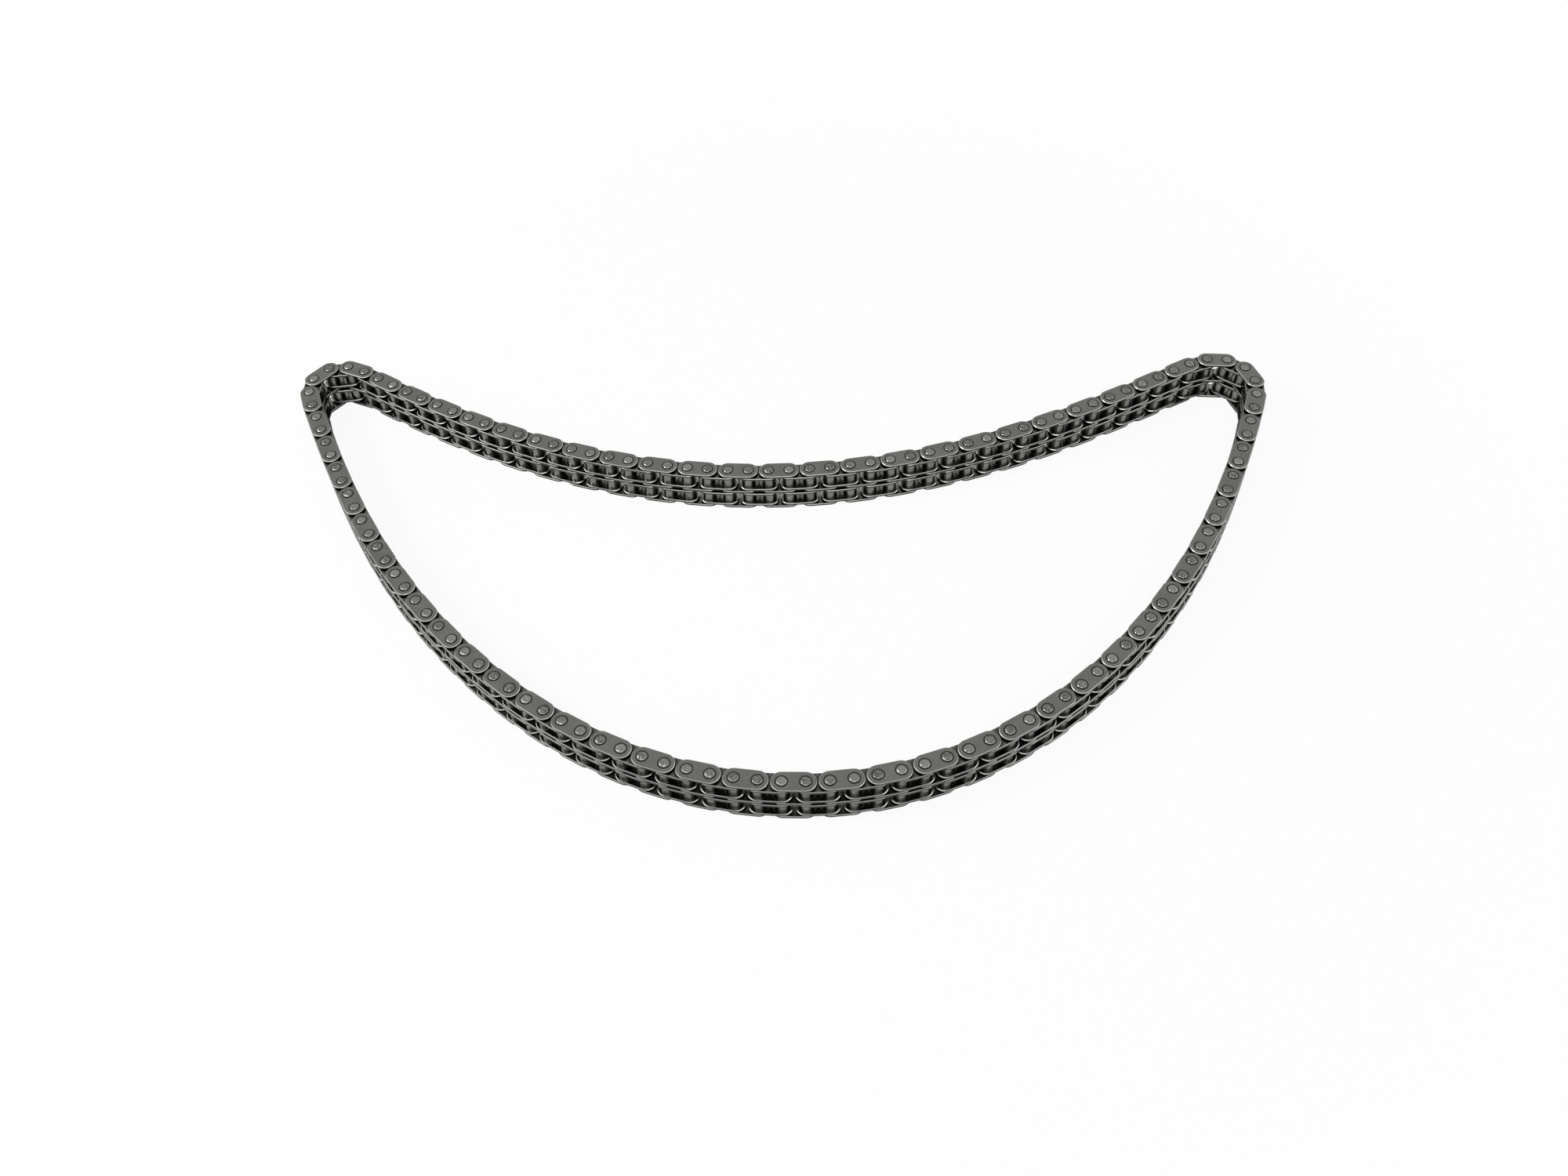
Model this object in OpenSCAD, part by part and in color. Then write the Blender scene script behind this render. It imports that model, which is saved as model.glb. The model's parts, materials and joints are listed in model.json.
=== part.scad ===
// Endless two-strand bush timing chain, lying on its side in a crescent loop.
// Millimetres, +Z up, with every pin upright. The loop is centred on the origin and
// the lower pin ends stand on the plane Z = 0. X runs from the left corner of the
// crescent to the right one, and the belly of the crescent faces -Y.
//
// The chain alternates outer links and inner links. An outer link is two pins pressed
// into an outer plate at each side and a centre plate between the strands. An inner
// link is, in each strand, two bushes pressed into two inner plates, and the bushes
// turn on the pins of the outer links beside them.

/* [Links] */
// Distance between neighbouring pins
pitch = 9.525; // [8.4:0.005:13]
// Number of outer links, which is also the number of inner links
link_pairs = 63; // [57:1:69]

/* [Plates] */
// Gap between the round ends of neighbouring plates
plate_gap = 0.425; // [0.2:0.005:1]
// Thickness of the two outer plates
outer_plate_t = 1.25; // [0.8:0.05:2]
// Thickness of the plate between the strands
centre_plate_t = 1.5; // [0.8:0.05:2.5]
// Thickness of the four inner plates
inner_plate_t = 1.3; // [0.8:0.05:2]
// Bevel along the outer edge of every plate
edge_bevel = 0.3; // [0.1:0.05:0.35]

/* [Pins and bushes] */
// Diameter of a pin
pin_d = 4; // [2.6:0.05:4.4]
// Height of a riveted pin head over its plate
head_h = 0.6; // [0.3:0.05:1]
// How far the riveted head spreads past the pin, all round
head_spread = 0.1; // [0.05:0.05:0.3]
// Bevel round the end of a pin head
head_bevel = 0.2; // [0.1:0.05:0.25]
// Play between a pin and its bush, all round
pin_play = 0.04; // [0.02:0.005:0.09]
// Wall of a bush
bush_wall = 1.135; // [0.7:0.005:1.3]
// How far a bush stands out of its inner plates, at each end
bush_proud = 0.1; // [0.05:0.01:0.2]
// Width between the inner plates, where a sprocket tooth goes in
inner_width = 5.72; // [3:0.01:8]
// Gap between a bush end and the plate beside it
side_gap = 0.11; // [0.05:0.01:0.3]

/* [Lie of the loop] */
// Turn of the chain at the left corner, in degrees
left_turn = 148; // [130:1:160]
// Where the left corner lies, in joints past the first pin
left_place = 0.7; // [0:0.1:1.5]
// Joints on each side of the middle that share the left turn
left_spread = 3.4; // [3:0.1:6]
// Turn of the chain at the right corner, in degrees
right_turn = 138; // [125:1:155]
// Joints on each side of the middle that share the right turn
right_spread = 4; // [3:0.1:6]
// Where the right corner lies, in percent of the loop from its first pin
right_place = 40.95; // [39.5:0.05:42]
// Extra turn at the front of the belly, in degrees
belly_turn = 36; // [20:1:50]
// Where that extra turn is centred, in percent of the loop
belly_place = 69; // [66:0.5:73]
// How far it reaches each way, in percent of the loop
belly_spread = 17; // [12:0.5:22]
// How far the sag of the back run reaches each way, in percent of the loop
sag_spread = 38; // [34:0.5:42]

/* [Hidden] */
$fn = 48;

// The twelve sections between the working hinges, in order round the loop from its
// first pin, and the kinds of piece in each.
section_names = [
    "back_left_end", "back_left", "back_middle", "back_right",
    "back_right_end", "right_side_rear", "right_side_front", "front_right",
    "front_middle", "front_left", "left_side_front", "left_side_rear"
];
piece_kinds = ["outer_plates", "centre_plates", "inner_plates", "pins", "bushes"];

sections = len(section_names);
right_corner_section = 5;
joints = 2 * link_pairs;

// Round sizes
plate_r = (pitch - plate_gap) / 2;
pin_r = pin_d / 2;
bore_r = pin_r + pin_play;
bush_r = bore_r + bush_wall;

// Heights, from the lower pin ends up
inner_link_w = inner_width + 2 * (inner_plate_t + bush_proud);
strand_pitch = inner_link_w + centre_plate_t + 2 * side_gap;
lower_outer_z = head_h;
lower_bush_z = lower_outer_z + outer_plate_t + side_gap;
centre_z = lower_bush_z + inner_link_w + side_gap;
upper_bush_z = lower_bush_z + strand_pitch;
upper_outer_z = upper_bush_z + inner_link_w + side_gap;
pin_l = upper_outer_z + outer_plate_t + head_h;
bush_zs = [lower_bush_z, upper_bush_z];

// The turn at each joint is an even turn that closes the full circle, plus four smooth
// bumps: the two corners, the belly of the front run, and the sag of the back run,
// which turns the other way. The place and the turn of the sag are solved, so that
// the last link meets the first.
full_turn = 360;

// Height of a smooth bump at a joint, which falls to nothing a spread away
function off_joint(joint, place) =
    let (d = joint - place) d - joints * round(d / joints);
function rise(joint, place, spread) =
    let (d = abs(off_joint(joint, place)))
    d < spread ? (1 + cos(180 * d / spread)) / 2 : 0;
function total(values) = values * [for (v = values) 1];
function bump(place, spread, turn) =
    let (rises = [for (joint = [0 : joints - 1]) rise(joint, place, spread)])
    rises * (turn / total(rises));
function share(percent) = percent * joints / 100;

corner_turns = bump(left_place, left_spread, -left_turn)
    + bump(share(right_place), right_spread, -right_turn)
    + bump(share(belly_place), share(belly_spread), -belly_turn);
fixed_turn = left_turn + right_turn + belly_turn;

// Turn at each joint, for a sag given as [place, turn]
function turns(sag) =
    let (even = (fixed_turn - sag[1] - full_turn) / joints)
    [for (t = corner_turns + bump(sag[0], share(sag_spread), sag[1])) t + even];

// Running sum of a list, each entry with all before it
function running(values) =
    [for (i = 0, sum = values[0]; i < len(values);
          i = i + 1, sum = sum + (i < len(values) ? values[i] : values[0] * 0)) sum];
function directions(sag) = running(turns(sag));
function ways(headings) = [for (h = headings) [cos(h), sin(h)]];
function miss(sag) = let (steps = ways(directions(sag))) [for (i = [0, 1]) total([for (s = steps) s[i]])];

// Newton steps on the sag until the miss is below a thousandth of a micron
function solve(sag, tries = 12) =
    let (e = miss(sag), small = 1e-9)
    tries == 0 || norm(e) < small ? sag :
    let (probe = 1e-3,
         by_place = (miss(sag + [probe, 0]) - e) / probe,
         by_turn = (miss(sag + [0, probe]) - e) / probe,
         det = by_place[0] * by_turn[1] - by_place[1] * by_turn[0])
    solve(sag - [e[0] * by_turn[1] - e[1] * by_turn[0],
                 by_place[0] * e[1] - by_place[1] * e[0]] / det, tries - 1);
first_guess = [share(right_place) / 2, fixed_turn / 2];
headings_as_solved = directions(solve(first_guess));

// Pins of the loop before it is turned and centred
loose_ways = ways(headings_as_solved) * pitch;
loose_pins = [for (i = 0, p = [0, 0]; i < joints; p = p + loose_ways[i], i = i + 1) p];

// First pin of a section, at the two corners exactly a working hinge
function first_pin(section) = 2 * round(section * link_pairs / sections);
corner_line = loose_pins[first_pin(right_corner_section)] - loose_pins[0];
lean = atan2(corner_line[1], corner_line[0]);
function turned(p) = [p[0] * cos(lean) + p[1] * sin(lean), p[1] * cos(lean) - p[0] * sin(lean)];
level_pins = [for (p = loose_pins) turned(p)];
function middle(values) = (max(values) + min(values)) / 2;
centre = [middle([for (p = level_pins) p[0]]), middle([for (p = level_pins) p[1]])];
pin_places = [for (p = level_pins) p - centre];
headings = [for (h = headings_as_solved) h - lean];

// Puts a piece at the pin that starts a link, with +X towards the link's other pin
module at_link(link, z) {
    translate([pin_places[link % joints][0], pin_places[link % joints][1], z])
        rotate(headings[link % joints])
            children();
}

module at_each_link(section, offset, zs) {
    for (link = [first_pin(section) + offset : 2 : first_pin(section + 1) - 2 + offset])
        for (z = zs)
            at_link(link, z) children();
}

// Outline of a bevelled disc or bar, from its middle line to its edge
function edge_profile(r, t) = [
    [0, 0], [r - edge_bevel, 0], [r, edge_bevel],
    [r, t - edge_bevel], [r - edge_bevel, t], [0, t]
];

// Straight-sided link plate with round ends, lying flat, its holes at 0 and one pitch
module link_plate(t, hole_r) {
    through = 1;
    difference() {
        union() {
            for (x = [0, pitch])
                translate([x, 0, 0])
                    rotate_extrude()
                        polygon(edge_profile(plate_r, t));
            for (side = [0, 1])
                mirror([0, side, 0])
                    rotate([90, 0, 90])
                        linear_extrude(pitch)
                            polygon(edge_profile(plate_r, t));
        }
        for (x = [0, pitch])
            translate([x, 0, -through])
                cylinder(h = t + 2 * through, r = hole_r);
    }
}

module outer_plates(section) {
    color([0.38, 0.38, 0.36])
        at_each_link(section, 0, [lower_outer_z, upper_outer_z])
            link_plate(outer_plate_t, pin_r);
}

module centre_plates(section) {
    color([0.34, 0.34, 0.33])
        at_each_link(section, 0, [centre_z])
            link_plate(centre_plate_t, pin_r);
}

module inner_plates(section) {
    plate_zs = [for (z = bush_zs) for (up = [bush_proud, bush_proud + inner_plate_t + inner_width]) z + up];
    color([0.42, 0.42, 0.4])
        at_each_link(section, 1, plate_zs)
            link_plate(inner_plate_t, bush_r);
}

// Both pins of an outer link, each with a spread head beyond the outer plates
module pins(section) {
    head_r = pin_r + head_spread;
    profile = [
        [0, 0], [head_r - head_bevel, 0], [head_r, head_bevel], [head_r, head_h],
        [pin_r, head_h], [pin_r, pin_l - head_h],
        [head_r, pin_l - head_h], [head_r, pin_l - head_bevel], [head_r - head_bevel, pin_l], [0, pin_l]
    ];
    color([0.55, 0.55, 0.53])
        at_each_link(section, 0, [0])
            for (x = [0, pitch])
                translate([x, 0, 0])
                    rotate_extrude()
                        polygon(profile);
}

// Both bushes of an inner link, in both strands
module bushes(section) {
    color([0.48, 0.47, 0.45])
        at_each_link(section, 1, bush_zs)
            for (x = [0, pitch])
                translate([x, 0, 0])
                    rotate_extrude()
                        translate([bore_r, 0])
                            square([bush_wall, inner_link_w]);
}

for (section = [0 : sections - 1]) {
    place = section_names[section];
    outer_plates(section);
    centre_plates(section);
    inner_plates(section);
    pins(section);
    bushes(section);
}
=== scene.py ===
"""Looks of the two-strand timing chain: its pieces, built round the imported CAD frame."""

import json
import math

import bmesh
import bpy
from mathutils import Matrix, Vector

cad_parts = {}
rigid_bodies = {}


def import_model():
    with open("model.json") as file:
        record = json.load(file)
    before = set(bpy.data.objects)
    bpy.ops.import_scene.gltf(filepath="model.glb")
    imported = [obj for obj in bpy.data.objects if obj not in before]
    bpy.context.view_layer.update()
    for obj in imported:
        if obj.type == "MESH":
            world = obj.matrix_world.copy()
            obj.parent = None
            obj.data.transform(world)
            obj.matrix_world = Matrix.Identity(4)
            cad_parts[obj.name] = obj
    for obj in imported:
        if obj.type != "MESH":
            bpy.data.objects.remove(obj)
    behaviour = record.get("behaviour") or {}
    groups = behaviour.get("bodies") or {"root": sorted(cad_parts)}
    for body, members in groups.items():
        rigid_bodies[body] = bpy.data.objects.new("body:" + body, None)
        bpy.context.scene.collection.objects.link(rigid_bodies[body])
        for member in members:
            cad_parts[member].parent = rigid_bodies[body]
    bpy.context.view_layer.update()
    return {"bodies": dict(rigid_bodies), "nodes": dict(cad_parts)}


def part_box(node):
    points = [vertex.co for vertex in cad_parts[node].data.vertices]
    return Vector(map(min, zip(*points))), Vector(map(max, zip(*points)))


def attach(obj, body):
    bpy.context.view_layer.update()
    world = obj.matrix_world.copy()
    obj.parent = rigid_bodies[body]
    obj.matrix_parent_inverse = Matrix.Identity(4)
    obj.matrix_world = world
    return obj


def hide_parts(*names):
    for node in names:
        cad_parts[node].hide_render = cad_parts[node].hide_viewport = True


bl_info = {
    "name": "Timing Chain Looks",
    "version": (1, 0, 0),
    "blender": (4, 5, 0),
    "location": "3D View > Sidebar > Timing Chain",
    "description": "Dresses the packed timing chain with its plates, pins, bushes and studio",
    "category": "Object",
}

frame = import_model()
SECTIONS = sorted(frame["bodies"])

# Making of the meshes, in metres and radians
WELD = 1e-6  # points that are nearer to each other than this become one
SAME_LENGTH = 1.02  # the longest link may be this many times the shortest
CREASE = math.radians(40)  # edges that bend more than this stay crisp
FLAT_FACE_WEIGHT = 80  # how much the large faces steer the smooth normals
HEAD_FLAT = 0.62  # share of a pin head's radius that its flat middle takes
SHADE_SEED = 7

# Zones of a piece's surface, which the finishes read
FLAT, BEVEL, WALL, HIDDEN = 0.0, 1.0, 2.0, 3.0

# Patterns in the steel: the size of their cells, in metres
CLOUD, SCUFF, GRAIN, SHEAR_MARKS = 0.006, 0.0011, 0.00045, 0.0004
DENTS, MOTTLE = 0.0016, 0.0009
OIL_FILM, TURNING_MARKS = 0.0025, 0.0005
PLATE_BUMP, HEAD_BUMP, BUSH_BUMP = 0.00008, 0.0003, 0.00004  # how high they stand

# Where painted shade, painted highlights and wear lie on a plate, in metres
HEAD_CREVICE = 0.0008  # width of the ring of painted shade round a pin head
BUSH_CREVICE = 0.00015  # and round a bush end
SHELTER_IN, SHELTER_FULL, SHELTER_OUT = 0.0002, 0.0003, 0.0024  # painted shade, measured from a neighbour's round end
ROUND_END = (0.0004, 0.0026)  # past a pin, where the straight side turns into the round end
CREVICE_RAGGED, SHELTER_RAGGED, END_RAGGED = 0.0006, 0.0008, 0.001  # how uneven they are
PAINTED_DARK_EDGE_ENDS = (0.00006, 0.00018)  # how far in from the outline the painted dark edge ends
HIGHLIGHT_LINE_STARTS, HIGHLIGHT_LINE_ENDS = (0.00014, 0.00024), (0.00034, 0.00044)  # and the painted highlight line lies

# Studio, in metres
WHITE = (1.0, 1.0, 1.0, 1.0)
FLOOR_REACH = 4.0
FLOOR_FADE = (0.26, 0.5)  # from the middle of the chain, where the floor turns plain white
SENSOR_WIDTH = 36.0  # of the camera, in millimetres
LAMPS = {  # where each panel hangs, and its width and height
    "left_lamp": ((-1.1, -0.15, 0.42), 1.6, 0.55),
    "right_lamp": ((1.1, -0.15, 0.42), 1.6, 0.55),
    "front_lamp": ((0.0, -0.95, 1.15), 1.2, 0.5),
    "spot_lamp": ((-0.94, -0.13, 0.88), 0.25, 0.25),
}


# ---------------------------------------------------------------- places in the frame


def round_piece_axes(node):
    """Middle of each upright round piece in a CAD node, seen from above, along the chain."""
    mesh = bmesh.new()
    mesh.from_mesh(frame["nodes"][node].data)
    bmesh.ops.remove_doubles(mesh, verts=mesh.verts, dist=WELD)
    seen, axes = set(), {}
    for start in mesh.verts:
        if start in seen:
            continue
        seen.add(start)
        shell, fresh = [], [start]
        while fresh:
            vert = fresh.pop()
            shell.append(vert.co.xy)
            for edge in vert.link_edges:
                other = edge.other_vert(vert)
                if other not in seen:
                    seen.add(other)
                    fresh.append(other)
        middle = [(min(co[i] for co in shell) + max(co[i] for co in shell)) / 2 for i in (0, 1)]
        # The bushes of both strands share an axis, to a hundredth of a millimetre
        axes[round(middle[0], 5), round(middle[1], 5)] = Vector(middle)
    mesh.free()
    return in_chain_order(list(axes.values()))


def in_chain_order(axes):
    """The same places, walked from one end of the section to the other."""
    left = list(axes)
    walked = [max(left, key=lambda place: sum((place - other).length for other in left))]
    left.remove(walked[0])
    while left:
        nearest = min(left, key=lambda place: (place - walked[-1]).length)
        walked.append(nearest)
        left.remove(nearest)
    return walked


class Link:
    """One link of the chain: its two pins, its heading and its length, seen from above."""

    def __init__(self, first, second):
        self.first, self.second = first, second
        way = second - first
        self.length = way.length
        self.heading = math.atan2(way.y, way.x)


def links_of(node):
    """The links whose two round pieces lie in this CAD node."""
    axes = round_piece_axes(node)
    links = [Link(*pair) for pair in zip(axes[0::2], axes[1::2])]
    lengths = [link.length for link in links]
    if max(lengths) > SAME_LENGTH * min(lengths):
        raise RuntimeError(f"the round pieces of {node} don't pair up into links")
    return links


OUTER_LINKS = {section: links_of(section + "_pins") for section in SECTIONS}
INNER_LINKS = {section: links_of(section + "_bushes") for section in SECTIONS}
PITCH = OUTER_LINKS[SECTIONS[0]][0].length


def heights(kind):
    """Lowest and highest level of a kind of piece in the frame."""
    low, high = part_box(f"{SECTIONS[0]}_{kind}")
    return low.z, high.z


# ---------------------------------------------------------------- node trees


class Wire:
    """A socket of a node tree that can be added, multiplied and compared like a number."""

    def __init__(self, bench, socket):
        self.bench, self.socket = bench, socket

    def out(self, name):
        """Another output of the same node."""
        return Wire(self.bench, self.socket.node.outputs[name])

    def math(self, operation, *values):
        return self.bench.node("ShaderNodeMath", {"operation": operation}, dict(enumerate(values)))

    def __add__(self, other):
        return self.math("ADD", self, other)

    def __sub__(self, other):
        return self.math("SUBTRACT", self, other)

    def __rsub__(self, other):
        return self.math("SUBTRACT", other, self)

    def __mul__(self, other):
        return self.math("MULTIPLY", self, other)

    def __truediv__(self, other):
        return self.math("DIVIDE", self, other)

    def __rtruediv__(self, other):
        return self.math("DIVIDE", other, self)

    def __mod__(self, other):
        return self.math("FLOORED_MODULO", self, other)

    def __pow__(self, other):
        return self.math("POWER", self, other)

    def __neg__(self):
        return self.math("MULTIPLY", self, -1.0)

    def __gt__(self, other):
        return self.math("GREATER_THAN", self, other)

    def __lt__(self, other):
        return self.math("LESS_THAN", self, other)

    def __abs__(self):
        return self.math("ABSOLUTE", self)

    __radd__, __rmul__ = __add__, __mul__

    def least(self, other):
        return self.math("MINIMUM", self, other)

    def most(self, other):
        return self.math("MAXIMUM", self, other)

    def near(self, whole_number):
        """1 where this is about the whole number, and 0 elsewhere."""
        return self.math("COMPARE", self, whole_number, 0.3)

    def clamped(self):
        return self.most(0.0).least(1.0)

    def ramp(self, low, high):
        """0 below low and 1 above high, smooth between them."""
        settings = {"interpolation_type": "SMOOTHSTEP"}
        return self.bench.node("ShaderNodeMapRange", settings, {"Value": self, 1: low, 2: high})


class Bench:
    """Adds nodes to a tree, one call to a node."""

    def __init__(self, tree):
        self.tree = tree

    def feed(self, socket, value):
        """Links a wire, or each wire of a list, to a socket, or sets the socket's own value."""
        values = value if isinstance(value, list) else [value]
        if isinstance(values[0], Wire):
            for wire in values:
                self.tree.links.new(wire.socket, socket)
        else:
            socket.default_value = value

    def node(self, kind, settings=None, inputs=None, output=0):
        made = self.tree.nodes.new(kind)
        for name, value in (settings or {}).items():
            setattr(made, name, value)
        for name, value in (inputs or {}).items():
            self.feed(made.inputs[name], value)
        return Wire(self, made.outputs[output]) if len(made.outputs) else made

    def vector(self, x, y, z):
        return self.node("ShaderNodeCombineXYZ", None, {"X": x, "Y": y, "Z": z})

    def store(self, geometry, kind, domain, name, value):
        """Stores a named attribute, which the steel finishes read."""
        settings = {"data_type": kind, "domain": domain}
        inputs = {"Geometry": geometry, "Name": name, "Value": value}
        return self.node("GeometryNodeStoreNamedAttribute", settings, inputs)

    def moved(self, geometry, x, y, z):
        inputs = {0: geometry, "Translation": self.vector(x, y, z)}
        return self.node("GeometryNodeTransform", None, inputs)

    def placed(self, geometry, x, y, z):
        """The same geometry with each of its points put at its own place."""
        inputs = {0: geometry, "Position": self.vector(x, y, z)}
        return self.node("GeometryNodeSetPosition", None, inputs)

    def joined(self, *parts):
        return self.node("GeometryNodeJoinGeometry", None, {0: list(parts)})


def geometry_bench(name, sizes):
    """A new tree with the inputs Places, the named sizes and Material, and its wires by name."""
    tree = bpy.data.node_groups.new(name, "GeometryNodeTree")
    tree.interface.new_socket("Places", in_out="INPUT", socket_type="NodeSocketGeometry")
    for size, value in sizes.items():
        kind = "NodeSocketInt" if isinstance(value, int) else "NodeSocketFloat"
        socket = tree.interface.new_socket(size, in_out="INPUT", socket_type=kind)
        if isinstance(value, float):
            socket.subtype = "DISTANCE"
        socket.default_value = value
    tree.interface.new_socket("Material", in_out="INPUT", socket_type="NodeSocketMaterial")
    tree.interface.new_socket("Pieces", in_out="OUTPUT", socket_type="NodeSocketGeometry")
    bench = Bench(tree)
    entry = bench.node("NodeGroupInput").socket.node
    return bench, {socket.name: Wire(bench, socket) for socket in entry.outputs if socket.name}


def place_copies(bench, given, piece):
    """Welds a piece, puts it at every place with its own shade, and finishes the tree."""
    welded = bench.node("GeometryNodeMergeByDistance", None, {"Geometry": piece, "Distance": WELD})
    position = bench.node("GeometryNodeInputPosition")
    known = bench.store(welded, "FLOAT_VECTOR", "POINT", "own_place", position)
    smooth = bench.node(
        "GeometryNodeSetShadeSmooth", {"domain": "FACE"}, {0: known, "Shade Smooth": True}
    )
    bend = bench.node("GeometryNodeInputMeshEdgeAngle")
    creased = bench.node(
        "GeometryNodeSetShadeSmooth",
        {"domain": "EDGE"},
        {0: smooth, "Selection": bend > CREASE, "Shade Smooth": False},
    )
    heading = bench.node(
        "GeometryNodeInputNamedAttribute", {"data_type": "FLOAT"}, {"Name": "heading"}
    )
    turn = bench.vector(0.0, 0.0, heading)
    copies = bench.node(
        "GeometryNodeInstanceOnPoints",
        None,
        {"Points": given["Places"], "Instance": creased, "Rotation": turn},
    )
    shade = bench.node(
        "FunctionNodeRandomValue", {"data_type": "FLOAT"}, {"Seed": SHADE_SEED}, output=1
    )
    shaded_copies = bench.store(copies, "FLOAT", "INSTANCE", "shade", shade)
    realized = bench.node("GeometryNodeRealizeInstances", None, {0: shaded_copies})
    done = bench.node(
        "GeometryNodeSetMaterial", None, {0: realized, "Material": given["Material"]}
    )
    bench.node("NodeGroupOutput", None, {"Pieces": done})
    return bench.tree


def stadium_place(step, arc_points, pitch, radius):
    """X and Y of a step round a straight-sided outline with round ends at 0 and one pitch."""
    along = step % (arc_points * 2)
    rear = along.math("FLOOR", along / arc_points)
    in_arc = along - rear * arc_points
    angle = (in_arc / (arc_points - 1) + rear - 0.5) * math.pi
    x = (1.0 - rear) * pitch + angle.math("COSINE", angle) * radius
    return x, angle.math("SINE", angle) * radius


def band(bench, steps, rows):
    """A grid mesh of steps round by rows across, with each point's step and height share."""
    inputs = {"Size X": 1.0, "Size Y": 1.0, "Vertices X": steps + 1, "Vertices Y": rows}
    grid = bench.node("GeometryNodeMeshGrid", None, inputs)
    position = bench.node("GeometryNodeInputPosition")
    place = bench.node("ShaderNodeSeparateXYZ", None, {0: position})
    step = place.math("ROUND", (place + 0.5) * steps)
    return grid, step, place.out("Y") + 0.5


def plate_tree(sizes):
    """Link plates: straight sides, round ends, bevelled edges and two holes."""
    bench, given = geometry_bench("link_plates", sizes)
    pitch, radius, thick = given["Pitch"], given["End radius"], given["Thickness"]
    bevel, arc_points = given["Edge bevel"], given["Arc points"]

    # Side wall with its two bevels, of which the lower one gets the same painted shade as the wall
    grid, step, up = band(bench, arc_points * 2, 4)
    on_rim, upper_bevel = abs(up - 0.5) > 0.4, up > 0.75
    marked = bench.store(grid, "FLOAT", "FACE", "zone", WALL - upper_bevel * (WALL - BEVEL))
    side = up.math("SIGN", up - 0.5)
    x, y = stadium_place(step, arc_points, pitch, radius - bevel * on_rim)
    z = thick / 2 + side * (thick / 2 - bevel * (1.0 - on_rim))
    wall = bench.placed(marked, x, y, z)

    # Flat faces, with both holes left open
    order = bench.node("GeometryNodeInputIndex")
    line = bench.node("GeometryNodeMeshLine", None, {"Count": arc_points * 2})
    x, y = stadium_place(order, arc_points, pitch, radius - bevel)
    rim = bench.node("GeometryNodeMeshToCurve", None, {0: bench.placed(line, x, y, 0.0)})
    rim = bench.node("GeometryNodeSetSplineCyclic", None, {0: rim, "Cyclic": True})
    hole = {"Vertices": given["Hole points"], "Radius": given["Hole radius"]}
    ring = bench.node("GeometryNodeMeshCircle", None, hole)
    rings = bench.joined(ring, bench.moved(ring, pitch, 0.0, 0.0))
    hole_rims = bench.node("GeometryNodeMeshToCurve", None, {0: rings})
    rims = bench.joined(rim, hole_rims)
    face = bench.node("GeometryNodeFillCurve", {"mode": "NGONS"}, {0: rims})
    face = bench.store(face, "FLOAT", "FACE", "zone", FLAT)
    upper = bench.moved(face, 0.0, 0.0, thick)
    lower = bench.node("GeometryNodeFlipFaces", None, {0: face})

    # Walls of the holes
    bore = bench.node(
        "GeometryNodeExtrudeMesh",
        {"mode": "EDGES"},
        {0: rings, "Offset": bench.vector(0.0, 0.0, 1.0), "Offset Scale": thick},
    )
    bore = bench.store(bore, "FLOAT", "FACE", "zone", HIDDEN)
    return place_copies(bench, given, bench.joined(wall, upper, lower, bore))


def turned_tree(name, sizes, profile, closed):
    """Round pieces, turned from a profile.

    profile(given) lists the radius, the height and the zone of the face that follows, from
    the bottom up. A closed profile is a ring, and an open one ends in flat discs.
    """
    bench, given = geometry_bench(name, sizes)
    rows = profile(given)
    count = len(rows) + closed
    grid, step, up = band(bench, given["Facets"], count)
    row = up.math("ROUND", up * (count - 1))
    face_row = up.math("FLOOR", up * (count - 1))

    def by_row(column, pick):
        chosen = bench.node("GeometryNodeIndexSwitch", {"data_type": "FLOAT"}, {"Index": pick})
        switch = chosen.socket.node
        while len(switch.index_switch_items) < count:
            switch.index_switch_items.new()
        for i in range(count):
            bench.feed(switch.inputs[i + 1], rows[i % len(rows)][column])
        return chosen

    marked = bench.store(grid, "FLOAT", "FACE", "zone", by_row(2, face_row))
    radius, height = by_row(0, row), by_row(1, row)
    angle = step * (2 * math.pi) / given["Facets"]
    x, y = angle.math("COSINE", angle) * radius, angle.math("SINE", angle) * radius
    piece = bench.placed(marked, x, y, height)
    if closed:
        return place_copies(bench, given, piece)

    ends = []
    for end_radius, end_height, zone in (rows[0], rows[-1]):
        circle = {"Vertices": given["Facets"], "Radius": end_radius}
        disc = bench.node("GeometryNodeMeshCircle", {"fill_type": "NGON"}, circle)
        disc = bench.store(disc, "FLOAT", "FACE", "zone", zone)
        if not ends:
            disc = bench.node("GeometryNodeFlipFaces", None, {0: disc})
        ends.append(bench.moved(disc, 0.0, 0.0, end_height))
    return place_copies(bench, given, bench.joined(piece, *ends))


def pin_profile(given):
    """A pin with a slightly crowned riveted head at each end."""
    length, head, shaft = given["Length"], given["Head radius"], given["Shaft radius"]
    tall, bevel, crown = given["Head height"], given["Head bevel"], given["Crown"]
    middle, shoulder = head * HEAD_FLAT, head - bevel
    return [
        (middle, 0.0, FLAT),
        (shoulder, crown, BEVEL),
        (head, crown + bevel, WALL),
        (head, tall, HIDDEN),
        (shaft, tall, HIDDEN),
        (shaft, length - tall, HIDDEN),
        (head, length - tall, WALL),
        (head, length - crown - bevel, BEVEL),
        (shoulder, length - crown, FLAT),
        (middle, length, FLAT),
    ]


def bush_profile(given):
    """A bush: bore, bevelled ends and outer wall, as one closed ring."""
    length, bevel = given["Length"], given["End bevel"]
    outer, bore = given["Outer radius"], given["Bore radius"]
    return [
        (bore, 0.0, BEVEL),
        (outer - bevel, 0.0, BEVEL),
        (outer, bevel, WALL),
        (outer, length - bevel, BEVEL),
        (outer - bevel, length, BEVEL),
        (bore, length, HIDDEN),
    ]


# ---------------------------------------------------------------- steel finishes


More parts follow.
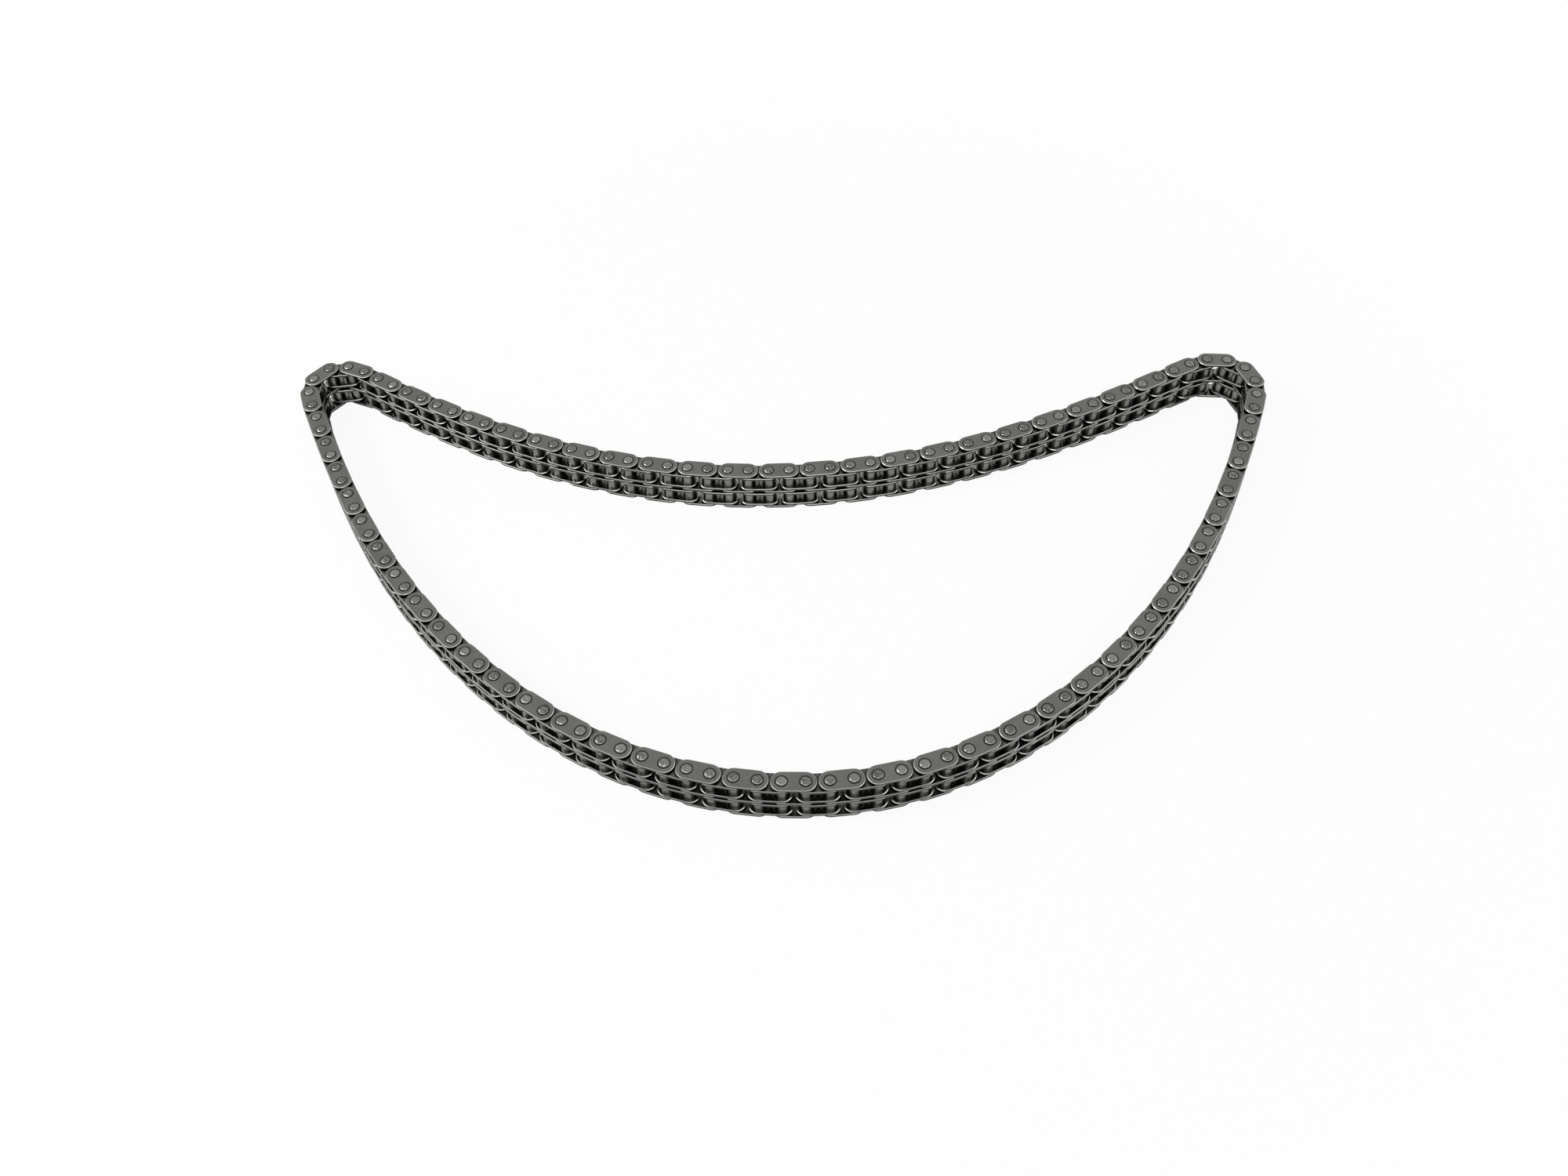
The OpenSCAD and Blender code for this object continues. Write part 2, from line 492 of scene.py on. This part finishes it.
def shaded(colour, factor):
    """A colour made lighter or darker, as the four numbers that a socket takes."""
    return tuple(min(1.0, part * factor) for part in colour[:3]) + (1.0,)


class Steel(Bench):
    """A steel material, with the coordinates and marks that all finishes share."""

    def __init__(self, name):
        self.material = bpy.data.materials.new(name)
        self.material.use_nodes = True
        super().__init__(self.material.node_tree)
        self.tree.nodes.clear()
        self.at = self.node("ShaderNodeTexCoord").out("Object")
        self.zone, self.shade = self.mark("zone"), self.mark("shade")
        place = self.node("ShaderNodeAttribute", {"attribute_name": "own_place"}).out("Vector")
        self.along = self.node("ShaderNodeSeparateXYZ", None, {0: place})
        self.across = self.along.out("Y")

    def mark(self, name):
        """A number that the geometry carries: the zone of a face, or the shade of a piece."""
        return self.node("ShaderNodeAttribute", {"attribute_name": name}).out("Fac")

    def noise(self, size, detail=3.0, roughness=0.55, stretch=(1.0, 1.0, 1.0)):
        """Noise with cells of this size in metres, about 0 to 1."""
        scale = [part / size for part in stretch]
        scaled = self.node("ShaderNodeMapping", None, {"Vector": self.at, "Scale": scale})
        inputs = {"Vector": scaled, "Scale": 1.0, "Detail": detail, "Roughness": roughness}
        return self.node("ShaderNodeTexNoise", None, inputs)

    def dents(self, size, smoothness=0.6):
        """Distance to the nearest of many scattered points, for peening dents."""
        scale = [1 / size] * 3
        scaled = self.node("ShaderNodeMapping", None, {"Vector": self.at, "Scale": scale})
        inputs = {"Vector": scaled, "Scale": 1.0, "Smoothness": smoothness}
        return self.node("ShaderNodeTexVoronoi", {"feature": "SMOOTH_F1"}, inputs)

    def mix(self, amount, first, second):
        """Colour between two colours, either of which may be a wire."""
        inputs = {"Factor": amount, 6: first, 7: second}
        return self.node("ShaderNodeMix", {"data_type": "RGBA"}, inputs, output=2)

    def coated(self, tone, *coats):
        """A tone under coats, each given as its amount and its colour, the lowest first."""
        for amount, colour in coats:
            tone = self.mix(amount, tone, colour)
        return tone

    def finish(self, colour, roughness, height, strength, distance):
        """Ends the material with its shader, whose bumps are this high in metres."""
        bump = {"Strength": strength, "Distance": distance, "Height": height}
        inputs = {
            "Base Color": colour,
            "Roughness": roughness.clamped(),
            "Normal": self.node("ShaderNodeBump", None, bump),
            "Metallic": 1.0,
        }
        shader = self.node("ShaderNodeBsdfPrincipled", None, inputs)
        self.node("ShaderNodeOutputMaterial", None, {"Surface": shader})
        return self.material


class PlateSteel(Steel):
    """Plate steel, with its patterns and masks for where a plate takes painted shade and painted
    highlights, or is rubbed.
    """

    def __init__(self, name, end_radius):
        super().__init__(name)
        self.end_radius = end_radius
        self.bevel, self.wall = self.zone.near(BEVEL), self.zone > BEVEL
        self.cloud = self.noise(CLOUD, detail=4.0)
        self.grain = self.noise(GRAIN, detail=2.0)
        self.scuff = self.noise(SCUFF, detail=3.0, roughness=0.7)
        self.sheared = self.noise(SHEAR_MARKS, detail=2.0, stretch=(1.0, 1.0, 0.12))
        from_pin = abs(self.along).least(abs(self.along - PITCH))
        self.off_axis = (from_pin * from_pin + self.across * self.across) ** 0.5
        self.past_pin = (-self.along).most(self.along - PITCH)

    def crevice(self, hub_radius, width):
        """1 in a ragged ring round each pin head or bush end, where painted shade goes."""
        ragged = self.off_axis + (self.grain - 0.5) * CREVICE_RAGGED
        return 1.0 - ragged.ramp(hub_radius + width / 2, hub_radius + width)

    def shelter(self):
        """1 beside the round ends of the plates that lie against this one, where painted shade
        goes.
        """
        ragged = self.off_axis + (self.scuff - 0.5) * SHELTER_RAGGED
        outward = ragged.ramp(self.end_radius + SHELTER_FULL, self.end_radius + SHELTER_OUT)
        return self.off_axis.ramp(self.end_radius - SHELTER_IN, self.end_radius) * (1.0 - outward)

    def round_end(self):
        """0 along the straight sides and 1 round the ends."""
        return (self.past_pin + (self.sheared - 0.5) * END_RAGGED).ramp(*ROUND_END)

    def inside(self):
        """How far a point lies in from the plate's outline, seen from above."""
        beyond = self.past_pin.most(0.0)
        return self.end_radius - (beyond * beyond + self.across * self.across) ** 0.5


def plate_steel(
    name, finish, end_radius, colour, roughness, hub_radius, crevice,
    guided, sheltered=0.0, painted_edge_lines=0.0,
):
    """Rolled and tumbled plate: satin flats, burnished bevels and sheared side walls, with
    painted shade on the walls and round the holes, and painted highlights along the edges.

    hub_radius is the radius of the head or bush in the plate's holes, and crevice the width
    of the ring of painted shade round it. guided is how much lighter the straight side walls
    are made, by rail wear and partly as a painted reflection, sheltered how much painted shade
    lies beside the neighbours' round ends, and skinned how far the bevel's outer half keeps
    its painted dark edge round the ends too, with a painted highlight line just inside it.
    Those three go from 0 to 1.
    """
    steel = PlateSteel(name, end_radius)
    cloud, grain, scuff, sheared = steel.cloud, steel.grain, steel.scuff, steel.sheared
    wall, shade, round_end, inside = steel.wall, steel.shade, steel.round_end(), steel.inside()
    worn_colour = finish.worn_colour
    worn = (steel.bevel * (0.45 + grain)).clamped()
    rail_wear_and_sheen = wall * (1.0 - round_end) * guided * (0.6 + sheared * 0.8)
    painted_dark_edge = (1.0 - inside.ramp(*PAINTED_DARK_EDGE_ENDS)) * steel.bevel * (1.0 - round_end * (1.0 - painted_edge_lines))
    line = inside.ramp(*HIGHLIGHT_LINE_STARTS) * (1.0 - inside.ramp(*HIGHLIGHT_LINE_ENDS)) * (1.0 - wall)
    tone = steel.coated(
        steel.mix(cloud.ramp(0.3, 0.7), shaded(colour, 0.88), shaded(colour, 1.1)),
        (grain.ramp(0.35, 0.65) * 0.5, shaded(colour, 1.5)),  # pale grains
        (shade * 0.3, shaded(colour, 1.3)),  # the piece's own shade
        (scuff.ramp(0.52, 0.7) * 0.5, shaded(colour, 0.6)),  # dark scuffs
        (steel.crevice(hub_radius, crevice) * 0.9, shaded(colour, 0.12)),  # painted shade round the heads and bush ends
        (steel.shelter() * sheltered, shaded(colour, 0.15)),  # painted shade beside the neighbours' round ends
        (wall, shaded(colour, 0.1)),  # painted shade on the side walls, which are partly darker torn steel too
        # lighter straight side walls: rail wear, and partly a painted reflection
        (rail_wear_and_sheen, shaded(colour, 1.25)),
        # burnished wear on the bevels, made brighter round the ends as a painted highlight
        (worn, steel.mix(round_end, shaded(worn_colour, 0.7), shaded(worn_colour, 1.0))),
        # painted shade: a dark edge along the bevel's outer half
        (painted_dark_edge * 0.85, shaded(colour, 0.12)),
        # painted highlight: a bright line just inside the dark edge
        (line * (0.45 + grain * 0.5) * painted_edge_lines, shaded(worn_colour, 0.8)),
    )
    rough = roughness + (cloud - 0.5) * 0.2 + (grain - 0.5) * 0.16 + worn * 0.08 + shade * 0.05
    height = grain * 0.5 + scuff * 0.5 + sheared * wall * 0.8
    return steel.finish(tone, rough, height, finish.grain_strength, PLATE_BUMP)


def head_steel(finish):
    """Riveted pin: peened, mottled heads with a bright rolled rim, over sides darkened with painted
    shade.
    """
    steel = Steel("riveted_pin_steel")
    colour, shade = finish.head_colour, steel.shade
    rim, side, face = steel.zone.near(BEVEL), steel.zone > BEVEL, steel.zone < BEVEL
    dents = steel.dents(DENTS)
    mottle = steel.noise(MOTTLE, detail=4.0, roughness=0.7)
    tone = steel.coated(
        steel.mix(mottle.ramp(0.4, 0.6), shaded(colour, 0.42), shaded(colour, 1.15)),
        (shade * 0.8, shaded(colour, 1.35)),
        (rim * 0.5, shaded(finish.worn_colour, 0.65)),
        # painted shade on the sides of the heads
        (side, shaded(colour, 0.1)),
    )
    rough = finish.head_roughness + (mottle - 0.5) * 0.3 - rim * 0.12
    height = dents * face * 1.8 + mottle * face * 0.5
    return steel.finish(tone, rough, height, strength=0.8, distance=HEAD_BUMP)


def bush_steel(finish):
    """Drawn bush: fine turning marks, and painted shade on the sides that face its neighbours."""
    steel = Steel("bush_steel")
    colour, along, across = finish.bush_colour, steel.along, steel.across
    rings = steel.noise(TURNING_MARKS, detail=2.0, stretch=(0.15, 0.15, 1.0))
    film = steel.noise(OIL_FILM, detail=4.0)
    facing_neighbour = abs(along) / (along * along + across * across) ** 0.5
    # Painted shade on the sides that face the neighbouring bushes, ragged at its edge
    painted_flank_shade = (facing_neighbour + (film - 0.5) * 0.25).ramp(0.4, 0.58)
    tone = steel.coated(
        steel.mix(film.ramp(0.3, 0.75), shaded(colour, 0.75), shaded(colour, 1.15)),
        (steel.shade * 0.4, shaded(colour, 1.3)),
        (steel.zone.near(BEVEL) * 0.3, shaded(finish.worn_colour, 1.0)),
        # painted shade on the flanks
        (painted_flank_shade * 0.9, shaded(colour, 0.1)),
    )
    rough = finish.bush_roughness + (film - 0.5) * 0.12 + (rings - 0.5) * 0.06
    return steel.finish(tone, rough, rings + film * 0.5, strength=0.3, distance=BUSH_BUMP)


# ---------------------------------------------------------------- settings that a user may change


def a_length(name, description, millimetres):
    return bpy.props.FloatProperty(
        name=name, description=description, default=millimetres / 1000,
        min=0.0, unit="LENGTH", precision=5,
    )


def a_count(name, description, value, low, high):
    return bpy.props.IntProperty(
        name=name, description=description, default=value, min=low, max=high
    )


def a_colour(name, description, red, green, blue):
    return bpy.props.FloatVectorProperty(
        name=name, description=description, default=(red, green, blue),
        size=3, min=0.0, max=1.0, subtype="COLOR",
    )


def a_share(name, description, value):
    return bpy.props.FloatProperty(
        name=name, description=description, default=value, min=0.0, max=1.0, subtype="FACTOR"
    )


def a_power(name, description, watts):
    return bpy.props.FloatProperty(
        name=name, description=description, default=watts, unit="POWER"
    )


def an_angle(name, description, degrees):
    return bpy.props.FloatProperty(
        name=name, description=description, default=math.radians(degrees), unit="ROTATION"
    )


class ChainSizes(bpy.types.PropertyGroup):
    """Sizes of the chain's pieces."""

    end_radius: a_length("Plate end radius", "Radius of a plate's round ends", 4.545)
    outer_thickness: a_length("Outer plate", "Thickness of an outer plate", 1.25)
    inner_thickness: a_length("Inner plate", "Thickness of an inner plate", 1.3)
    inner_width: a_length("Inner width", "Width between the inner plates of a strand", 5.72)
    edge_bevel: a_length("Edge bevel", "Bevel along every plate's edge", 0.35)
    pin_radius: a_length("Pin radius", "Radius of a pin's shaft", 2.0)
    head_radius: a_length("Head radius", "Radius of a riveted pin head", 2.1)
    head_height: a_length("Head height", "Height of a pin head over its plate", 0.6)
    head_bevel: a_length("Head bevel", "Bevel round a pin head", 0.18)
    head_crown: a_length("Head crown", "How far the middle of a head stands over its rim", 0.2)
    bush_radius: a_length("Bush radius", "Outer radius of a bush", 3.175)
    bore_radius: a_length("Bore radius", "Radius of the bore of a bush", 2.04)
    end_bevel: a_length("Bush end bevel", "Bevel round the ends of a bush", 0.08)
    arc_points: a_count("Arc points", "Points along each round end of a plate", 16, 4, 32)
    pin_facets: a_count("Pin facets", "Sides of a pin and of its holes", 20, 6, 48)
    bush_facets: a_count("Bush facets", "Sides of a bush and of its holes", 24, 6, 48)


class SteelFinish(bpy.types.PropertyGroup):
    """Colours and roughness of the steel."""

    outer_colour: a_colour("Outer plates", "Colour of the outer plates", 0.13, 0.13, 0.12)
    centre_colour: a_colour("Centre plates", "Colour of the centre plates", 0.12, 0.12, 0.11)
    inner_colour: a_colour("Inner plates", "Colour of the inner plates", 0.14, 0.14, 0.129)
    head_colour: a_colour("Pins", "Colour of the pin heads", 0.175, 0.175, 0.163)
    bush_colour: a_colour("Bushes", "Colour of the bushes", 0.2, 0.198, 0.189)
    # used for burnished wear, and for the plates' painted highlights
    worn_colour: a_colour("Worn edges", "Colour of burnished edges", 0.42, 0.42, 0.402)
    plate_roughness: a_share("Plate roughness", "Roughness of the outer and centre plates", 0.27)
    inner_roughness: a_share("Inner plate roughness", "Roughness of the inner plates", 0.2)
    head_roughness: a_share("Head roughness", "Roughness of the pin heads", 0.3)
    bush_roughness: a_share("Bush roughness", "Roughness of the bushes", 0.3)
    grain_strength: a_share("Grain", "Strength of the plates' fine grain", 0.45)


class StudioSettings(bpy.types.PropertyGroup):
    """Floor, lamps and camera."""

    floor_colour: a_colour("Floor", "Colour of the floor", 0.9, 0.9, 0.9)
    floor_glow: a_share("Floor lift", "Share of white in the floor as it is seen or mirrored", 0.93)
    side_lamps: a_power("Side lamps", "Power of each lamp panel beside the chain", 3.0)
    front_lamp: a_power("Front lamp", "Power of the lamp panel over the camera", 3.6)
    spot_lamp: a_power("Spot lamp", "Power of the small panel high on the left", 7.0)
    room_light: bpy.props.FloatProperty(
        name="Room light", description="Brightness of the room", default=0.45, min=0.0, max=2.0
    )
    focal_length: bpy.props.FloatProperty(
        name="Focal length", description="In millimetres", default=32.443, min=5.0
    )
    camera_distance: a_length("Camera distance", "From the camera to its target", 641.23)
    camera_azimuth: an_angle("Camera azimuth", "Turn round the chain", -2.923)
    camera_elevation: an_angle("Camera elevation", "Height over the horizon", 51.426)
    camera_roll: an_angle("Camera roll", "Turn about the line of sight", -2.705)
    camera_target: bpy.props.FloatVectorProperty(
        name="Camera target",
        description="Point on the floor in the middle of the picture",
        default=(0.00421, -0.00612, 0.0),
        size=3,
        subtype="TRANSLATION",
    )


# ---------------------------------------------------------------- building the pieces


def place_mesh(links, levels, both_ends):
    """A point for each copy: at the first pin of a link, or at both its pins, on each level."""
    points, headings = [], []
    for link in links:
        for end in (link.first, link.second) if both_ends else (link.first,):
            for level in levels:
                points.append((end.x, end.y, level))
                headings.append(link.heading)
    mesh = bpy.data.meshes.new("places")
    mesh.from_pydata(points, [], [])
    mesh.attributes.new("heading", "FLOAT", "POINT").data.foreach_set("value", headings)
    return mesh


def built_mesh(tree, inputs, places):
    """The plain mesh that a tree makes of a mesh of places."""
    scratch = bpy.data.objects.new("scratch", places)
    bpy.context.scene.collection.objects.link(scratch)
    modifier = scratch.modifiers.new("pieces", "NODES")
    modifier.node_group = tree
    for item in tree.interface.items_tree:
        if item.in_out == "INPUT" and item.name in inputs:
            modifier[item.identifier] = inputs[item.name]
    normals = scratch.modifiers.new("flat_faces_stay_flat", "WEIGHTED_NORMAL")
    normals.keep_sharp = True
    normals.weight = FLAT_FACE_WEIGHT
    depsgraph = bpy.context.evaluated_depsgraph_get()
    evaluated = scratch.evaluated_get(depsgraph)
    made = bpy.data.meshes.new_from_object(evaluated, depsgraph=depsgraph)
    bpy.data.objects.remove(scratch)
    bpy.data.meshes.remove(places)
    return made


def build_pieces(kind, tree, material, sizes, links_by_section, levels, both_ends=False):
    """Runs a tree on every section's places, and puts the result in place of the CAD node."""
    inputs = {**sizes, "Material": material}
    for section in SECTIONS:
        name = f"{kind}_of_{section}"
        places = place_mesh(links_by_section[section], levels, both_ends)
        made = built_mesh(tree, inputs, places)
        if not made.polygons:
            raise RuntimeError(f"{name} came out empty")
        made.name = name
        piece = bpy.data.objects.new(name, made)
        bpy.context.scene.collection.objects.link(piece)
        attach(piece, section)
        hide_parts(f"{section}_{kind}")


def plate_sizes(sizes, thickness, hole_radius, hole_points):
    return {
        "Pitch": PITCH,
        "End radius": sizes.end_radius,
        "Thickness": thickness,
        "Edge bevel": sizes.edge_bevel,
        "Hole radius": hole_radius,
        "Arc points": sizes.arc_points,
        "Hole points": hole_points,
    }


class PieceOperator:
    """What the operators for the chain's pieces share."""

    bl_options = {"REGISTER", "UNDO"}

    def settings(self, context):
        return context.scene.chain_sizes, context.scene.chain_finish


class CHAIN_OT_outer_plates(PieceOperator, bpy.types.Operator):
    """Build the upper and lower outer plates of every outer link"""

    bl_idname = "timing_chain.outer_plates"
    bl_label = "Outer Plates"

    def execute(self, context):
        sizes, finish = self.settings(context)
        low, high = heights("outer_plates")
        steel = plate_steel(
            "outer_plate_steel", finish, sizes.end_radius,
            colour=finish.outer_colour,
            roughness=finish.plate_roughness,
            hub_radius=sizes.head_radius,
            crevice=HEAD_CREVICE,
            guided=0.15,
            painted_edge_lines=1.0,
        )
        given = plate_sizes(sizes, sizes.outer_thickness, sizes.pin_radius, sizes.pin_facets)
        levels = (low, high - sizes.outer_thickness)
        build_pieces("outer_plates", plate_tree(given), steel, given, OUTER_LINKS, levels)
        return {"FINISHED"}


class CHAIN_OT_centre_plates(PieceOperator, bpy.types.Operator):
    """Build the centre plate of every outer link, between the two strands"""

    bl_idname = "timing_chain.centre_plates"
    bl_label = "Centre Plates"

    def execute(self, context):
        sizes, finish = self.settings(context)
        low, high = heights("centre_plates")
        steel = plate_steel(
            "centre_plate_steel", finish, sizes.end_radius,
            colour=finish.centre_colour,
            roughness=finish.plate_roughness,
            hub_radius=sizes.pin_radius,
            crevice=HEAD_CREVICE,
            guided=0.4,
            sheltered=0.85,
        )
        given = plate_sizes(sizes, high - low, sizes.pin_radius, sizes.pin_facets)
        build_pieces("centre_plates", plate_tree(given), steel, given, OUTER_LINKS, (low,))
        return {"FINISHED"}


class CHAIN_OT_inner_plates(PieceOperator, bpy.types.Operator):
    """Build the four inner plates of every inner link"""

    bl_idname = "timing_chain.inner_plates"
    bl_label = "Inner Plates"

    def execute(self, context):
        sizes, finish = self.settings(context)
        low, high = heights("inner_plates")
        steel = plate_steel(
            "inner_plate_steel", finish, sizes.end_radius,
            colour=finish.inner_colour,
            roughness=finish.inner_roughness,
            hub_radius=sizes.bush_radius,
            crevice=BUSH_CREVICE,
            guided=0.35,
            sheltered=0.85,
        )
        given = plate_sizes(sizes, sizes.inner_thickness, sizes.bush_radius, sizes.bush_facets)
        rise, top = sizes.inner_thickness + sizes.inner_width, high - sizes.inner_thickness
        levels = (low, low + rise, top - rise, top)
        build_pieces("inner_plates", plate_tree(given), steel, given, INNER_LINKS, levels)
        return {"FINISHED"}


class CHAIN_OT_pins(PieceOperator, bpy.types.Operator):
    """Build the riveted pins"""

    bl_idname = "timing_chain.pins"
    bl_label = "Pins"

    def execute(self, context):
        sizes, finish = self.settings(context)
        low, high = heights("pins")
        given = {
            "Length": high - low,
            "Shaft radius": sizes.pin_radius,
            "Head radius": sizes.head_radius,
            "Head height": sizes.head_height,
            "Head bevel": sizes.head_bevel,
            "Crown": sizes.head_crown,
            "Facets": sizes.pin_facets,
        }
        tree = turned_tree("pins", given, pin_profile, closed=False)
        build_pieces("pins", tree, head_steel(finish), given, OUTER_LINKS, (low,), both_ends=True)
        return {"FINISHED"}


class CHAIN_OT_bushes(PieceOperator, bpy.types.Operator):
    """Build the bushes of both strands"""

    bl_idname = "timing_chain.bushes"
    bl_label = "Bushes"

    def execute(self, context):
        sizes, finish = self.settings(context)
        low, high = heights("bushes")
        proud = heights("inner_plates")[0] - low
        long = sizes.inner_width + 2 * (sizes.inner_thickness + proud)
        # The bore's flats, and not its corners, lie at the bore radius, so they clear the pin
        corner_radius = sizes.bore_radius / math.cos(math.pi / sizes.bush_facets)
        given = {
            "Length": long,
            "Outer radius": sizes.bush_radius,
            "Bore radius": corner_radius,
            "End bevel": sizes.end_bevel,
            "Facets": sizes.bush_facets,
        }
        tree, steel = turned_tree("bushes", given, bush_profile, closed=True), bush_steel(finish)
        levels = (low, high - long)
        build_pieces("bushes", tree, steel, given, INNER_LINKS, levels, both_ends=True)
        return {"FINISHED"}


# ---------------------------------------------------------------- studio


def lamp_panel(name, watts):
    """A rectangular lamp that faces the middle of the chain and isn't seen by the camera."""
    place, width, height = LAMPS[name]
    lamp = bpy.data.lights.new(name, "AREA")
    lamp.shape, lamp.size, lamp.size_y, lamp.energy = "RECTANGLE", width, height, watts
    shown = bpy.data.objects.new(name, lamp)
    shown.location = place
    shown.rotation_euler = (-Vector(place)).to_track_quat("-Z", "Y").to_euler()
    shown.visible_camera = False
    bpy.context.scene.collection.objects.link(shown)


def seen_or_mirrored(bench):
    """1 for what the camera sees, directly or mirrored, and 0 for light that falls on things."""
    ray = bench.node("ShaderNodeLightPath")
    mirrored = ray.out("Is Glossy Ray").most(ray.out("Is Transmission Ray"))
    return ray.out("Is Camera Ray").most(mirrored)


def pale_floor(studio):
    """A wide pale floor that fades to white away from the chain, and keeps a soft shadow."""
    mesh = bpy.data.meshes.new("floor")
    corners = [(-1, -1), (1, -1), (1, 1), (-1, 1)]
    points = [(x * FLOOR_REACH, y * FLOOR_REACH, 0.0) for x, y in corners]
    mesh.from_pydata(points, [], [(0, 1, 2, 3)])
    floor = bpy.data.objects.new("floor", mesh)
    bpy.context.scene.collection.objects.link(floor)
    material = bpy.data.materials.new("pale_floor")
    material.use_nodes = True
    material.node_tree.nodes.clear()
    bench = Bench(material.node_tree)
    paper_colour = shaded(studio.floor_colour, 1.0)
    paper = bench.node("ShaderNodeBsdfDiffuse", None, {"Color": paper_colour})
    white = bench.node("ShaderNodeEmission", None, {"Color": WHITE, "Strength": 1.0})
    place = bench.node("ShaderNodeTexCoord").out("Object")
    from_chain = bench.node("ShaderNodeVectorMath", {"operation": "LENGTH"}, {0: place}, output=1)
    lift = from_chain.ramp(*FLOOR_FADE) * (1.0 - studio.floor_glow) + studio.floor_glow
    glow = seen_or_mirrored(bench) * lift
    mixed = bench.node("ShaderNodeMixShader", None, {0: glow, 1: paper, 2: white})
    bench.node("ShaderNodeOutputMaterial", None, {"Surface": mixed})
    mesh.materials.append(material)


def room(studio):
    """World light: plain and soft for the object, white where it is seen or mirrored."""
    world = bpy.data.worlds.new("studio_room")
    world.use_nodes = True
    world.node_tree.nodes.clear()
    bench = Bench(world.node_tree)
    light = {"Color": WHITE, "Strength": studio.room_light}
    lit = bench.node("ShaderNodeBackground", None, light)
    white = bench.node("ShaderNodeBackground", None, {"Color": WHITE, "Strength": 1.0})
    mixed = bench.node("ShaderNodeMixShader", None, {0: seen_or_mirrored(bench), 1: lit, 2: white})
    bench.node("ShaderNodeOutputWorld", None, {"Surface": mixed})
    bpy.context.scene.world = world


def photo_camera(studio):
    """The camera that took the photograph: its place, its roll and its focal length."""
    azimuth, elevation, roll = studio.camera_azimuth, studio.camera_elevation, studio.camera_roll
    flat = math.cos(elevation)
    sight = Vector((math.sin(azimuth) * flat, math.cos(azimuth) * flat, -math.sin(elevation)))
    level = Vector((math.cos(azimuth), -math.sin(azimuth), 0.0))
    upward = level.cross(sight)
    right = level * math.cos(roll) + upward * math.sin(roll)
    up = upward * math.cos(roll) - level * math.sin(roll)
    data = bpy.data.cameras.new("photo_camera")
    data.sensor_width, data.lens, data.sensor_fit = SENSOR_WIDTH, studio.focal_length, "AUTO"
    data.clip_start, data.clip_end = 0.01, 50.0
    camera = bpy.data.objects.new("photo_camera", data)
    turn = Matrix((right, up, -sight)).transposed().to_4x4()
    place = Vector(studio.camera_target) - sight * studio.camera_distance
    camera.matrix_world = Matrix.Translation(place) @ turn
    bpy.context.scene.collection.objects.link(camera)
    bpy.context.scene.camera = camera


class CHAIN_OT_studio(bpy.types.Operator):
    """Set the floor, the lamps, the room and the camera"""

    bl_idname = "timing_chain.studio"
    bl_label = "Studio"
    bl_options = {"REGISTER", "UNDO"}

    def execute(self, context):
        studio = context.scene.chain_studio
        pale_floor(studio)
        room(studio)
        photo_camera(studio)
        lamp_panel("left_lamp", studio.side_lamps)
        lamp_panel("right_lamp", studio.side_lamps)
        lamp_panel("front_lamp", studio.front_lamp)
        lamp_panel("spot_lamp", studio.spot_lamp)
        context.scene.view_settings.view_transform = "Standard"
        return {"FINISHED"}


class CHAIN_PT_sidebar(bpy.types.Panel):
    """Lists the steps that build the chain, and the settings that they read"""

    bl_idname = "CHAIN_PT_sidebar"
    bl_label = "Timing Chain"
    bl_space_type = "VIEW_3D"
    bl_region_type = "UI"
    bl_category = "Timing Chain"

    def draw(self, context):
        for step in STEPS:
            self.layout.operator(step.bl_idname)
        for group in GROUPS:
            settings = getattr(context.scene, group)
            box = self.layout.box()
            for name in settings.bl_rna.properties.keys():
                if name not in ("rna_type", "name"):
                    box.prop(settings, name)


STEPS = (
    CHAIN_OT_outer_plates,
    CHAIN_OT_centre_plates,
    CHAIN_OT_inner_plates,
    CHAIN_OT_pins,
    CHAIN_OT_bushes,
    CHAIN_OT_studio,
)
GROUPS = {
    "chain_sizes": ChainSizes,
    "chain_finish": SteelFinish,
    "chain_studio": StudioSettings,
}


def register():
    for made in (*GROUPS.values(), *STEPS, CHAIN_PT_sidebar):
        bpy.utils.register_class(made)
    for name, group in GROUPS.items():
        setattr(bpy.types.Scene, name, bpy.props.PointerProperty(type=group))


def unregister():
    for name in GROUPS:
        delattr(bpy.types.Scene, name)
    for made in (CHAIN_PT_sidebar, *reversed(STEPS), *reversed(GROUPS.values())):
        bpy.utils.unregister_class(made)


def main():
    register()
    bpy.ops.timing_chain.outer_plates()
    bpy.ops.timing_chain.centre_plates()
    bpy.ops.timing_chain.inner_plates()
    bpy.ops.timing_chain.pins()
    bpy.ops.timing_chain.bushes()
    bpy.ops.timing_chain.studio()


if __name__ == "__main__":
    main()
